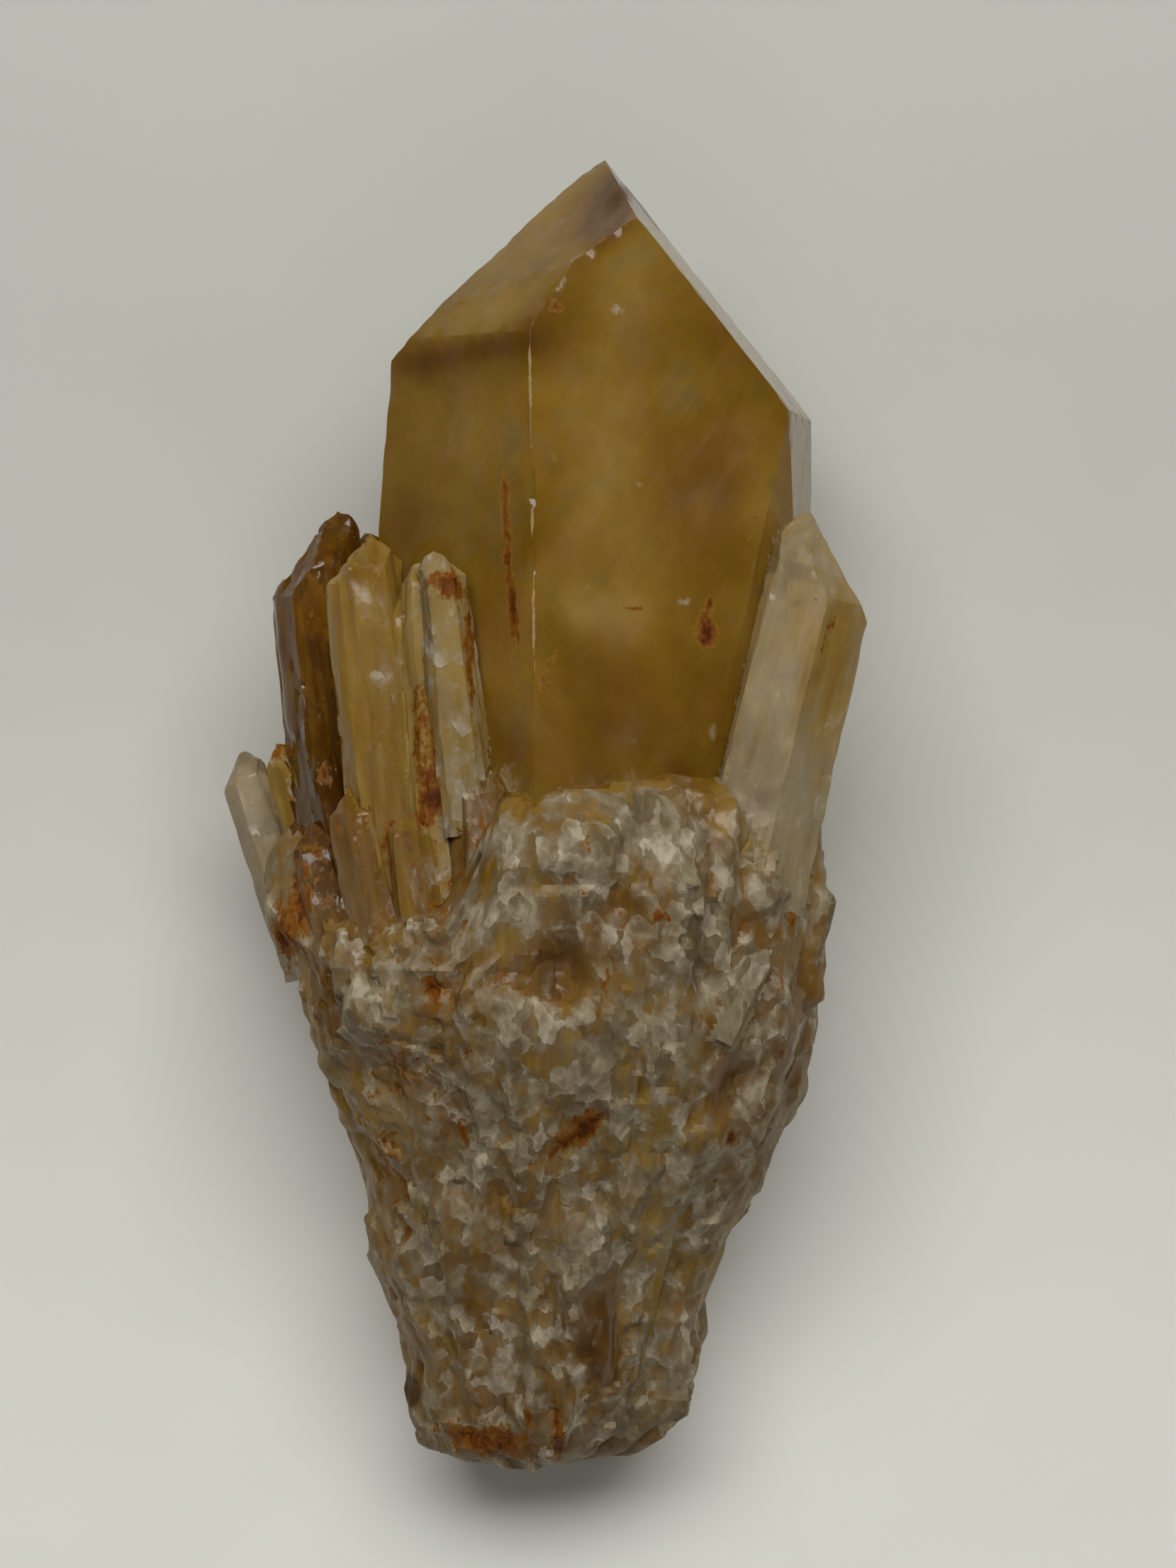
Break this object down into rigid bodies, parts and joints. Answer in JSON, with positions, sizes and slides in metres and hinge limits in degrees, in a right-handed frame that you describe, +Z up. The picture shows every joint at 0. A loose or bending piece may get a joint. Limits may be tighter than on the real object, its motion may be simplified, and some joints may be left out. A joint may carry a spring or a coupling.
{
  "type": "citrine crystal specimen",
  "caption": "Natural citrine point with smaller points grown around it, spreading from a tapered milky root, lying on its back.",
  "frame": {"origin": "middle of the bounding box's underside, on the surface that the specimen lies on", "axes": "+Y along the large point towards its tip, +Z up from the surface, +X to the right seen from above with the tip away from the viewer"},
  "size_m": [0.0482, 0.0996, 0.033],
  "materials": {
    "citrine": "see-through honey-brown quartz with glassy faces, turning milky, sugary and rust-stained towards the root"
  },
  "bodies": {
    "root": {"citrine_cluster": "citrine"}
  },
  "joints": []
}
